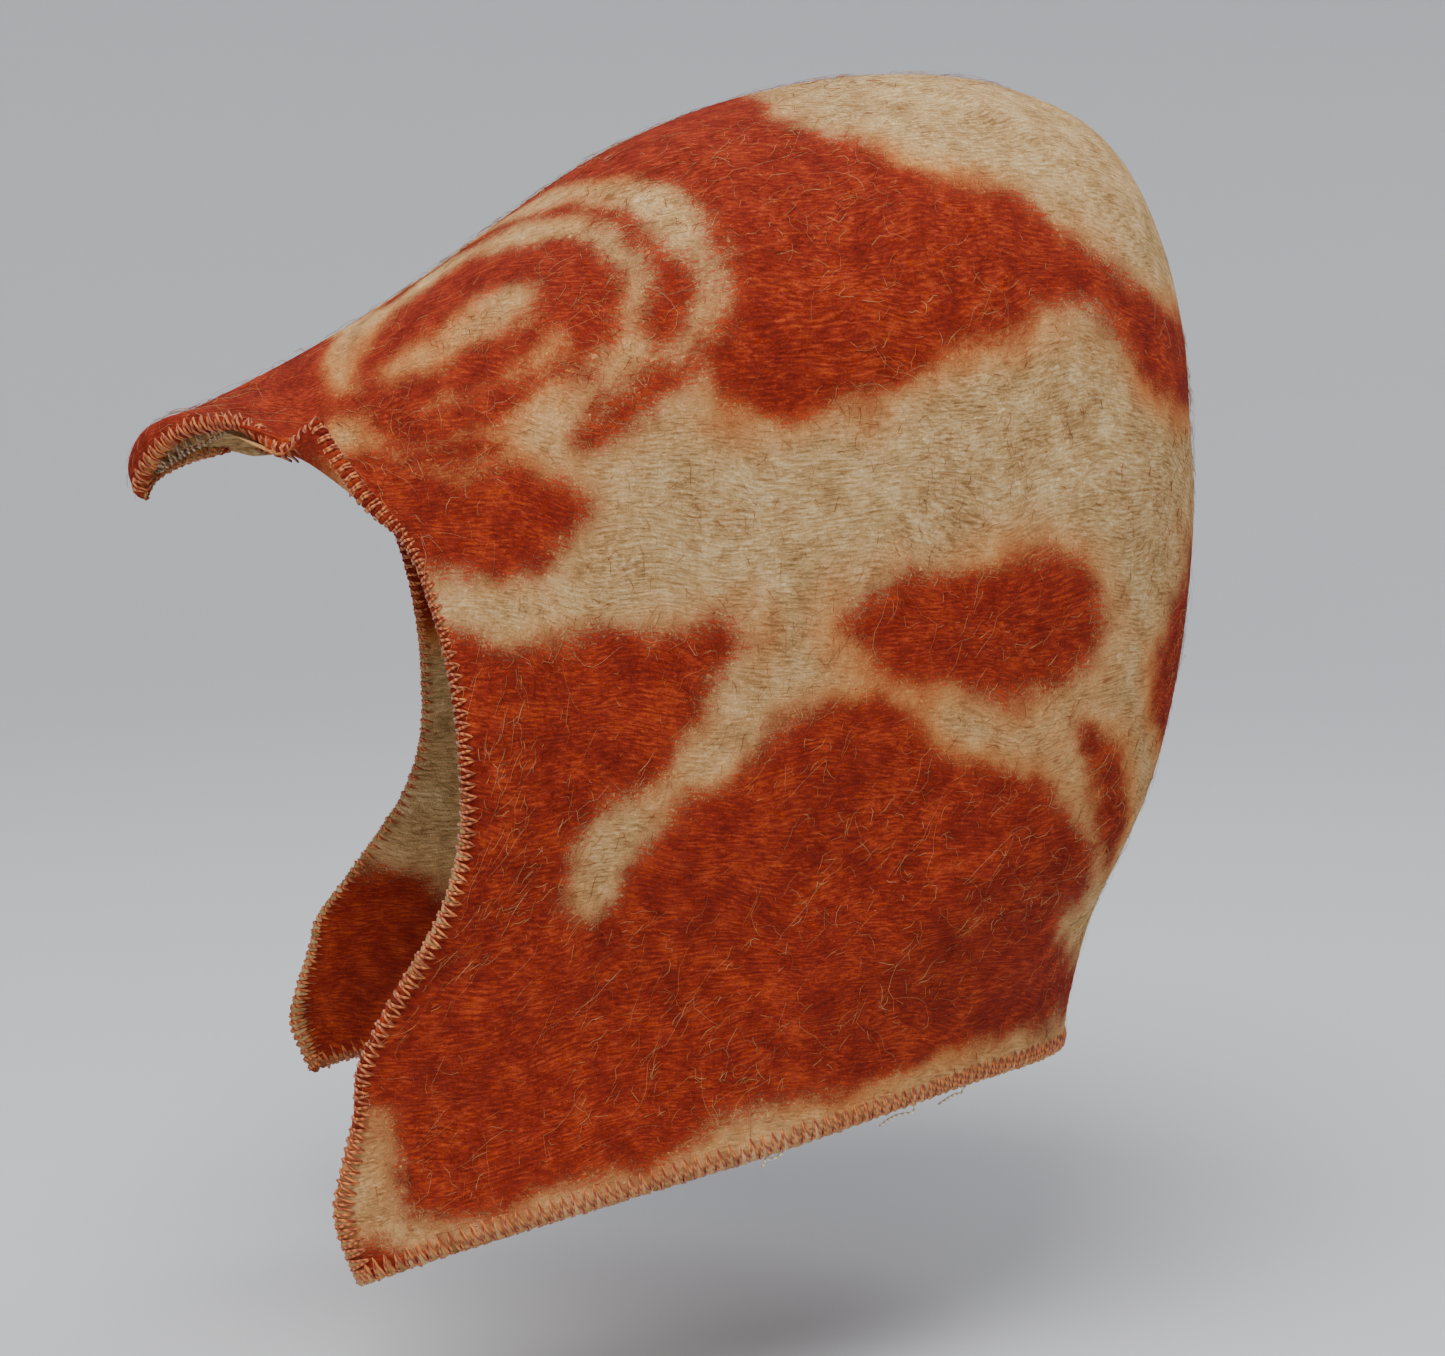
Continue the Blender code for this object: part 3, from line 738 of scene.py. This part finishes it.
@dataclass
class FeltHalf:
    """One half of the hood: a single sheet of felt from peak to hem, seam allowance included."""

    side: Side
    cells_along: int = 300
    peak_crowding: float = 1.3
    body_cells: int = 100
    seam_rows_mm: tuple[float, ...] = (0.0, 0.5, 1.2, 2.2, 3.4)
    edge_rows_mm: tuple[float, ...] = (0.0, 0.4, 1.0, 1.9, 3.0)
    usual_rib_mm: float = 170.0
    seam_round_mm: float = 2.6
    edge_round_mm: float = 1.9
    allowance_thick: float = 2.2
    crown_bump_mm: float = 2.6
    dent_mm: float = 0.9
    least_thickness: float = 0.35
    calm_margin_mm: float = 18.0
    allowance_rows: int = 3
    tip_taper: tuple[float, float] = (-0.004, 0.06)

    def across_rows(self) -> Array:
        """Shares across at which the grid has a row, closer together near both edges."""
        near = np.array(self.seam_rows_mm) / self.usual_rib_mm
        far = 1 - np.array(self.edge_rows_mm)[::-1] / self.usual_rib_mm
        middle = np.linspace(near[-1], far[0], self.body_cells + 1)[1:-1]
        return np.concatenate([near, middle, far])

    def along_rows(self) -> Array:
        """Shares along at which the grid has a row, closer together towards the peak."""
        return (np.arange(self.cells_along + 1) / self.cells_along) ** self.peak_crowding

    def grid_mesh(self, rows_along: int, rows_across: int) -> tuple[bpy.types.Mesh, Array]:
        """A closed shell on a flat grid.

        Args:
            rows_along: Rows of vertices along the half.
            rows_across: Rows of vertices across it, the allowance's among them.

        Returns:
            The mesh, and for each vertex its row along, its row across and 1 on the reverse.
        """
        work = bmesh.new()
        bmesh.ops.create_grid(work, x_segments=rows_along - 1, y_segments=rows_across - 1, size=0.5)
        thick = bmesh.ops.extrude_face_region(work, geom=work.faces[:], use_keep_orig=True)
        moved = [v for v in thick["geom"] if isinstance(v, bmesh.types.BMVert)]
        bmesh.ops.translate(work, verts=moved, vec=(0, 0, 1))
        bmesh.ops.recalc_face_normals(work, faces=work.faces[:])
        mesh = bpy.data.meshes.new("felt_shell")
        work.to_mesh(mesh)
        work.free()
        where = np.empty(len(mesh.vertices) * 3, np.float32)
        mesh.vertices.foreach_get("co", where)
        where = where.reshape(-1, 3).astype(float)
        i = np.rint((where[:, 0] + 0.5) * (rows_along - 1)).astype(int)
        j = np.rint((where[:, 1] + 0.5) * (rows_across - 1)).astype(int)
        return mesh, np.stack([i, j, np.rint(where[:, 2]).astype(int)], axis=1)

    def softness(self, points: Array) -> Array:
        """How far the soft cloth stands proud of the CAD face: a fuller crown and small dents."""
        x, y, z = points[..., 0], points[..., 1], points[..., 2]
        bump = self.crown_bump_mm * np.exp(-(((y - 52) / 34) ** 2 + ((z + 24) / 34) ** 2))
        phase = 0.9 if self.side is Side.LEFT else 2.3
        dents = np.sin(x / 17 + phase) * np.sin(y / 23 + 1.3 * phase) * np.sin(z / 19 - phase)
        dents += 0.6 * np.sin(y / 11 - z / 29 + phase) * np.sin(z / 13 + x / 21)
        return bump + self.dent_mm * dents

    def build(self) -> Piece:
        """Builds the half and marks its dye."""
        along_at, across_at = self.along_rows(), self.across_rows()
        rows = self.allowance_rows + len(across_at)
        mesh, index = self.grid_mesh(len(along_at), rows)
        grid_a = along_at[:, None]
        grid_b = np.concatenate([np.zeros(self.allowance_rows), across_at])[None, :]
        face = FORM.surface(grid_a, grid_b)
        _, _, out, long_a, long_b = FORM.directions(grid_a, grid_b)
        to_seam = grid_b * np.mean(long_b, axis=1, keepdims=True)
        to_face = (1 - grid_b) * np.mean(long_b, axis=1, keepdims=True)
        to_rim, to_hem = grid_a * long_a.mean(axis=0), (1 - grid_a) * long_a.mean(axis=0)
        margin = np.minimum(np.minimum(to_face, to_rim), to_hem)
        near = np.clip(1 - margin / self.edge_round_mm, 0, 1)
        thickness = FORM.felt * np.maximum(np.sqrt(1 - near**2), self.least_thickness)
        calm = ease(np.minimum(margin, to_seam), 0, self.calm_margin_mm)
        middle = face + out * (self.softness(face) * calm - FORM.felt / 2)[..., None]
        sink = np.clip(1 - to_seam / self.seam_round_mm, 0, 1)
        sink = self.seam_round_mm * (1 - np.sqrt(1 - sink**2))
        outer = middle + out * (thickness / 2 - sink)[..., None]
        inner = middle - out * (thickness / 2)[..., None]
        outer[..., 0] += FORM.seam_gap / 2
        inner[..., 0] += FORM.seam_gap / 2
        self.turn_in(outer, inner, out)
        points = np.where(index[:, 2:] == 1, inner[index[:, 0], index[:, 1]],
                          outer[index[:, 0], index[:, 1]])
        places = FORM.cloth(*np.broadcast_arrays(grid_a, grid_b))[index[:, 0], index[:, 1]]
        tag_cloth(mesh, places, self.side, index[:, 2])
        return finish_piece(f"{self.side.word}_felt_half", mesh, FORM.settle(points, self.side),
                            FELT_WOOL)

    def turn_in(self, outer: Array, inner: Array, out: Array) -> None:
        """Turns the seam edge inward as a flat allowance, which starts small at the peak's tip."""
        rows = self.allowance_rows
        inner_thick = self.allowance_thick + FORM.seam_gap / 2
        inner[:, rows:, 0] = np.maximum(inner[:, rows:, 0], inner_thick)
        from_tip = ease(self.along_rows(), *self.tip_taper)[:, None]
        for k in range(rows):
            share = (rows - k) / rows * from_tip
            outer[:, k] = outer[:, rows] - (FORM.felt + FORM.allowance_deep
                                            - self.seam_round_mm) * share * out[:, rows]
            inner[:, k] = inner[:, rows] - FORM.allowance_deep * share * out[:, rows]
            outer[:, k, 0] = FORM.seam_gap / 2
            inner[:, k, 0] = inner_thick


@dataclass
class EdgeRoute:
    """The raw edge of a half, from the peak's tip round the face and flap to the back of the hem."""

    side: Side
    samples: int = 900
    smoothing_mm: float = 3.0
    first_across: float = 0.03
    last_across: float = 0.012

    def __post_init__(self) -> None:
        """Works out the edge's middle, its outward way and the cloth's normal along it."""
        rim = np.linspace(self.first_across, 1, self.samples // 4)
        front = np.linspace(0, 1, self.samples)
        hem = np.linspace(1, self.last_across, self.samples // 2)
        along = np.concatenate([np.zeros_like(rim), front[1:], np.ones_like(hem[1:])])
        across = np.concatenate([rim, np.ones_like(front[1:]), hem[1:]])
        down, side_way, out, _, _ = FORM.directions(along, across)
        past_face, past_hem = unit(np.cross(down, out)), unit(np.cross(out, side_way))
        outward = np.where((across == 1)[:, None], past_face, 0)
        outward = outward + np.where((along == 1)[:, None], past_hem, 0)
        outward = outward - np.where((along == 0)[:, None], past_hem, 0)
        middle = FORM.surface(along, across) - out * FORM.felt / 2
        middle[:, 0] += FORM.seam_gap / 2
        run = np.append(0, np.cumsum(np.linalg.norm(np.diff(middle, axis=0), axis=1)))
        self.length = float(run[-1])
        even = np.linspace(0, self.length, int(self.length * 2))
        reach = max(int(self.smoothing_mm * 2), 1)

        def spaced(values: Array, smooth: bool) -> Array:
            table = np.stack([np.interp(even, run, column) for column in values.T], axis=1)
            if not smooth:
                return table
            padded = np.pad(table, ((reach, reach), (0, 0)), mode="edge")
            window = np.ones(2 * reach + 1) / (2 * reach + 1)
            return np.stack([np.convolve(c, window, "valid") for c in padded.T], axis=1)

        self.run = even
        self.middle = spaced(middle, False)
        self.outward = unit(spaced(outward, True))
        self.normal = unit(spaced(out, True))
        self.share = spaced(np.stack([along, across], axis=1), False)

    def places(self, run: Array, past: Array, above: Array) -> Array:
        """Points beside the edge, before they settle.

        Args:
            run: Millimetres along the edge.
            past: Millimetres past the edge, away from the felt.
            above: Millimetres out of the cloth's middle.

        Returns:
            Points in millimetres.
        """
        def read(table: Array) -> Array:
            return np.stack([np.interp(run, self.run, c) for c in table.T], axis=-1)

        beside = read(self.outward) * np.asarray(past)[..., None]
        return read(self.middle) + beside + read(self.normal) * np.asarray(above)[..., None]

    def cloth(self, run: Array) -> Array:
        """Places on the flat cloth, at these millimetres along the edge."""
        share = np.stack([np.interp(run, self.run, c) for c in self.share.T], axis=-1)
        return FORM.cloth(share[..., 0], share[..., 1])


@dataclass
class EdgeOverlock:
    """The overlocking on a raw edge: orange thread in a zigzag, and the wool that swells between."""

    side: Side
    pitch_mm: float = 2.9
    depth_mm: float = 5.6
    thread_mm: float = 0.78
    swell_mm: float = 2.3
    uneven: float = 0.1
    face_scale: float = 0.62
    hem_reach: tuple[float, float] = (0.72, 0.97)

    def __post_init__(self) -> None:
        """Lays out the edge and counts its stitches."""
        self.route = EdgeRoute(self.side)
        self.count = int(self.route.length / self.pitch_mm)
        self.random = np.random.default_rng(11 if self.side is Side.LEFT else 12)
        along = np.interp((np.arange(self.count) + 0.5) * self.pitch_mm, self.route.run,
                          self.route.share[:, 0])
        self.scale = (self.face_scale + (1 - self.face_scale) * ease(along, *self.hem_reach))[:, None]

    def thread(self) -> Piece:
        """The orange thread, one unbroken wrap round the edge, two passes to a stitch."""
        high, half = FORM.felt / 2 + self.thread_mm / 2, FORM.felt / 2
        deep = self.depth_mm
        stitch = np.array([
            (0.00, -deep, half - 0.4), (0.17, -deep * 0.55, high), (0.32, -0.6, half),
            (0.38, 1.1, 0.0), (0.43, -0.9, -half), (0.50, -deep, -half + 0.3),
            (0.57, -0.9, -half), (0.62, 1.1, 0.0), (0.68, -0.6, half),
            (0.83, -deep * 0.55, high)])
        number = np.arange(self.count)[:, None]
        wobble = self.random.normal(0, self.uneven, (self.count, len(stitch)))
        run = (number + 0.25 + stitch[None, :, 0]) * self.pitch_mm + wobble
        past = stitch[None, :, 1] * self.scale + wobble * 1.5
        path = self.route.places(run, past, np.broadcast_to(stitch[None, :, 2], run.shape))
        path = FORM.settle(path.reshape(-1, 3), self.side)
        mesh = bevelled_mesh("edge_thread", path, self.thread_mm / 2)
        return finish_piece(f"{self.side.word}_edge_overlock", mesh, read_points(mesh), EDGE_THREAD)

    def swells(self) -> Piece:
        """The felt's edge, pressed out in a row of soft lumps between the passes of thread."""
        half = FORM.felt / 2
        lump = np.array([
            (-4.4, half - 0.8, 0.35), (-3.2, half - 0.55, 0.8), (-1.4, half - 0.75, 1.0),
            (-0.1, half * 0.42, 1.05), (-0.1, -half * 0.42, 1.05), (-1.5, -half + 0.8, 0.95),
            (-4.2, -half + 0.8, 0.4)])
        number = np.arange(self.count)[:, None]
        run = (number + 0.25 + np.zeros(len(lump))) * self.pitch_mm
        run = run + self.random.normal(0, self.uneven, (self.count, 1))
        size = self.random.normal(1, 0.07, (self.count, 1))
        path = self.route.places(run, lump[None, :, 0] * size * self.scale,
                                 np.broadcast_to(lump[None, :, 1], run.shape))
        path = FORM.settle(path, self.side)
        radii = lump[None, :, 2] * self.swell_mm / 2 * size * (0.35 + 0.65 * self.scale)
        mesh = bevelled_mesh("edge_swells", path, radii)
        points = read_points(mesh)
        owner = owners(len(points), self.count)
        tag_cloth(mesh, self.route.cloth(run[:, 0])[owner], self.side, np.zeros(len(points)))
        return finish_piece(f"{self.side.word}_edge_wool", mesh, points, FELT_WOOL)


@dataclass
class SeamOverlock:
    """The overlocking under the centre seam, which holds both turned-in edges together."""

    pitch_mm: float = 3.2
    thread_mm: float = 0.8
    climb_mm: float = 3.6
    fins_mm: float = 2.2

    def thread(self) -> Piece:
        """The cream thread, in a zigzag from one side of the pressed edges to the other."""
        length = FORM.seam.length
        count = int(length / self.pitch_mm) - 6
        out_by = self.fins_mm + FORM.seam_gap / 2 + self.thread_mm / 2
        stitch = np.array([
            (0.0, out_by, self.climb_mm), (0.15, out_by, 0.9), (0.25, 0.0, -0.7),
            (0.35, -out_by, 0.9), (0.5, -out_by, self.climb_mm), (0.65, -out_by, 0.9),
            (0.75, 0.0, -0.7), (0.85, out_by, 0.9)])
        number = np.arange(count)[:, None]
        share = ((number + stitch[None, :, 0] + 3) * self.pitch_mm / length).ravel()
        share = np.clip(share, 0.012, 0.992)
        wide = np.broadcast_to(stitch[None, :, 1], (count, len(stitch))).ravel()
        climb = np.broadcast_to(stitch[None, :, 2], (count, len(stitch))).ravel()
        _, _, out, _, _ = FORM.directions(share, np.zeros_like(share))
        below = FORM.felt + FORM.allowance_deep - climb
        path = FORM.surface(share, np.zeros_like(share)) - out * below[:, None]
        path[:, 0] = wide
        path = FORM.settle(path, Side.LEFT)
        mesh = bevelled_mesh("seam_thread", path, self.thread_mm / 2)
        return finish_piece("centre_seam_overlock", mesh, read_points(mesh), SEAM_THREAD)


def read_points(mesh: bpy.types.Mesh) -> Array:
    """A mesh's vertices, in millimetres."""
    points = np.empty(len(mesh.vertices) * 3, np.float32)
    mesh.vertices.foreach_get("co", points)
    return points.reshape(-1, 3).astype(float) / MM


def owners(vertices: int, threads: int) -> Array:
    """Which of many equal threads each vertex of their mesh belongs to."""
    return np.minimum(np.arange(vertices) // (vertices // threads), threads - 1)


@dataclass
class Nap:
    """Loose wool hairs on the outer face: short ones that make the pile, or a few long strays."""

    side: Side
    name: str
    count: int
    length_mm: tuple[float, float]
    lift_mm: tuple[float, float]
    radius_mm: float
    knots: int = 4
    curl: float = 0.6
    seed: int = 5
    pale_share: float = 0.0
    root_depth_mm: float = 0.25
    dye_drift_mm: float = 2.0
    blunt_tip: float = 0.05

    def build(self) -> Piece:
        """Grows the hairs, evenly over the half, each bent along the cloth.

        A pale hair is undyed wool, whatever the cloth's colour at its root.
        """
        random = np.random.default_rng(self.seed * 10 + self.side.value)
        along, across = self.roots(random)
        _, _, _, long_a, long_b = FORM.directions(along, across)
        heading = random.uniform(0, 2 * math.pi, self.count)
        length = random.uniform(*self.length_mm, self.count)
        lift = random.uniform(*self.lift_mm, self.count)
        turn = random.normal(0, self.curl, (self.count, self.knots - 1))
        path, a, b = [], along, across
        for k in range(self.knots):
            share = k / (self.knots - 1)
            _, _, normal, _, _ = FORM.directions(a, b)
            raised = -self.root_depth_mm + lift * np.sin(math.pi * min(share, 0.75) * 0.66) * 1.2
            path.append(FORM.surface(a, b) + normal * raised[:, None])
            if k < self.knots - 1:
                heading = heading + turn[:, k]
                step = length / (self.knots - 1)
                a = np.clip(a + step * np.cos(heading) / long_a, 0, 1)
                b = np.clip(b + step * np.sin(heading) / long_b, 0.002, 1)
        path = FORM.settle(np.stack(path, axis=1), self.side)
        taper = np.sin(np.linspace(0.35, math.pi, self.knots))
        taper[-1] = self.blunt_tip
        radii = self.radius_mm * taper[None, :] * random.uniform(0.7, 1.2, (self.count, 1))
        mesh = bevelled_mesh(self.name, path, radii, sides=0)
        points = read_points(mesh)
        places = FORM.cloth(along, across) + random.normal(0, self.dye_drift_mm, (self.count, 2))
        owner = owners(len(points), self.count)
        dye = DYE_PLANS[self.side].depth(places)
        dye[random.uniform(size=self.count) < self.pale_share] = UNDYED_MM
        tag_cloth(mesh, places[owner], self.side, np.zeros(len(points)), dye[owner])
        return finish_piece(f"{self.side.word}_{self.name}", mesh, points, FELT_WOOL)

    def roots(self, random: np.random.Generator) -> tuple[Array, Array]:
        """Random places on the half, as many to a square millimetre everywhere."""
        tries = self.count * 6
        along, across = random.uniform(0.002, 0.998, tries), random.uniform(0.004, 0.998, tries)
        _, _, _, long_a, long_b = FORM.directions(along, across)
        area = long_a * long_b
        kept = np.flatnonzero(random.uniform(0, np.percentile(area, 97), tries) < area)[: self.count]
        if len(kept) < self.count:
            kept = np.concatenate([kept, np.arange(self.count - len(kept))])
        return along[kept], across[kept]


@dataclass
class ThreadTails:
    """Loose ends of undyed thread that hang from the back part of the left hem."""

    shares: tuple[float, ...] = (0.63, 0.50, 0.44)
    lengths_mm: tuple[float, ...] = (9.0, 12.0, 11.0)
    thread_mm: float = 0.7

    def build(self) -> Piece:
        """Makes the tails, each a short crooked end."""
        paths = []
        for share, length in zip(self.shares, self.lengths_mm):
            start = FORM.surface(1.0, share) + np.array([-1.5, 0.0, -1.0])
            t = np.linspace(0, 1, 7)
            forward = -length * 0.75 * t + 1.2 * np.sin(t * 5 + length)
            drop = -length * 0.45 * t - 0.8 * np.sin(t * 7)
            paths.append(start + np.stack([0.8 * np.sin(t * 4), forward, drop], axis=1))
        path = FORM.settle(np.stack(paths), Side.LEFT)
        mesh = bevelled_mesh("thread_tails", path, self.thread_mm / 2)
        return finish_piece("hem_thread_tails", mesh, read_points(mesh), LOOSE_THREAD)


@dataclass
class Studio:
    """A pale sweep, soft light and the camera."""

    floor_z: float = -0.345
    floor_half: float = 2.4
    level_radius: float = 1.0
    azimuth: float = 80.0
    elevation: float = 8.6
    distance: float = 0.72
    target: tuple[float, float, float] = (0.0, -0.048, -0.161)
    lens: float = 64.28

    def aim(self, thing: Piece, azimuth: float, elevation: float, away: float) -> None:
        """Stands a lamp or camera off the hood at these degrees and metres, facing it."""
        a, e = math.radians(azimuth), math.radians(elevation)
        way = Vector((math.sin(a) * math.cos(e), -math.cos(a) * math.cos(e), math.sin(e)))
        thing.location = Vector(self.target) + way * away
        thing.rotation_euler = way.to_track_quat("Z", "Y").to_euler()

    def sweep(self) -> None:
        """The pale floor, turned up into a wall well behind the hood."""
        work = bmesh.new()
        bmesh.ops.create_grid(work, x_segments=72, y_segments=72, size=self.floor_half)
        for vert in work.verts:
            beyond = max(vert.co.xy.length - self.level_radius, 0.0)
            vert.co.z = min(1.25 * (beyond / 1.4) ** 3, 2.0)
        mesh = bpy.data.meshes.new("studio_floor")
        work.to_mesh(mesh)
        work.free()
        mesh.transform(Matrix.Translation((0, 0, self.floor_z)))
        mesh.shade_smooth()
        paint, _, _ = new_material("pale_matt_floor", {"Base Color": linear("#D2D3D6"),
                                                       "Roughness": 0.8})
        mesh.materials.append(paint)
        floor = in_scene("studio_floor", mesh)

    def lamp(self, name: str, azimuth: float, elevation: float, away: float, size: float,
             power: float, colour: str) -> None:
        """One square soft light that faces the hood."""
        data = bpy.data.lights.new(name, "AREA")
        data.size, data.energy, data.color = size, power, linear(colour)[:3]
        self.aim(in_scene(name, data), azimuth, elevation, away)

    def build(self) -> None:
        """Sets up the floor, the lights, the world and the camera."""
        self.sweep()
        self.lamp("key", 62, 64, 1.6, 1.0, 31, "#FFFFFF")
        self.lamp("fill", 95, 24, 1.8, 1.0, 3, "#FFF8F0")
        self.lamp("back", 215, 50, 1.8, 1.0, 8, "#F2F6FF")
        world = bpy.data.worlds.new("studio_air")
        bpy.context.scene.world = world
        world.use_nodes = True
        world.node_tree.nodes["Background"].inputs["Color"].default_value = linear("#DDE0E4")
        world.node_tree.nodes["Background"].inputs["Strength"].default_value = 0.55
        data = bpy.data.cameras.new("camera")
        data.lens = self.lens
        camera = in_scene("camera", data)
        self.aim(camera, self.azimuth, self.elevation, self.distance)
        bpy.context.scene.camera = camera


@dataclass
class HoodSide:
    """Everything on one half, and the zone where its hood meets its flap."""

    side: Side
    tilt_deg: float = 30.0
    before_mm: float = 14.0
    after_mm: float = 9.0

    def fold_zone(self) -> tuple[tuple[float, ...], tuple[float, ...]]:
        """The start and end of a zone between hood and flap, in metres.

        The zone's way leans outward, so that the peak, which stands forward of the fold but on the
        middle plane, lies on the hood's side of it.
        """
        foot, top = FORM.surface(1.0, FORM.fold_foot), FORM.surface(FORM.fold_top, 1.0)
        up = unit(top - foot)
        front = np.cross((1.0, 0.0, 0.0), up)
        front *= -np.sign(front[1]) / np.linalg.norm(front)
        tilt = math.radians(self.tilt_deg)
        way = front * math.cos(tilt) + np.array([math.sin(tilt), 0, 0])
        middle = (foot + top) / 2
        mirror = np.array([self.side.value, 1, 1]) * MM
        return (tuple((middle - way * self.before_mm) * mirror),
                tuple((middle + way * self.after_mm) * mirror))

    def build(self) -> list[Piece]:
        """Builds the half's pieces, bakes their placement into their meshes and hides the CAD parts
        they replace.
        """
        word = self.side.word
        felt = FeltHalf(self.side).build()
        overlock = EdgeOverlock(self.side)
        thread, wool = overlock.thread(), overlock.swells()
        pile = Nap(self.side, "wool_pile", 6600, (3.0, 8.0), (0.15, 0.9), 0.06).build()
        strays = Nap(self.side, "stray_hairs", 1500, (9.0, 30.0), (0.3, 1.4), 0.028, 9, 0.6, 7,
                     0.4).build()
        pieces = [felt, thread, wool, pile, strays]
        start, end = self.fold_zone()
        for piece in pieces:
            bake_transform(piece)
        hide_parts(f"{word}_panel", f"{word}_front_flap")
        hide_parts(f"{word}_face_edging", f"{word}_flap_edging", f"{word}_hem_edging")
        return pieces


def main() -> None:
    """Builds the hood and its studio, and reports each piece."""
    logging.basicConfig(level=logging.INFO, format="%(name)s: %(message)s")
    pieces = []
    for side in Side:
        pieces += HoodSide(side).build()
    seam = SeamOverlock().thread()
    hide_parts("centre_seam_thread")
    tails = ThreadTails().build()
    for piece in (seam, tails):
        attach(piece, "hood")
        pieces.append(piece)
    for piece in pieces:
        LOG.info("%s: %d faces", piece.name, len(piece.data.polygons))
    Studio().build()


if __name__ == "__main__":
    main()
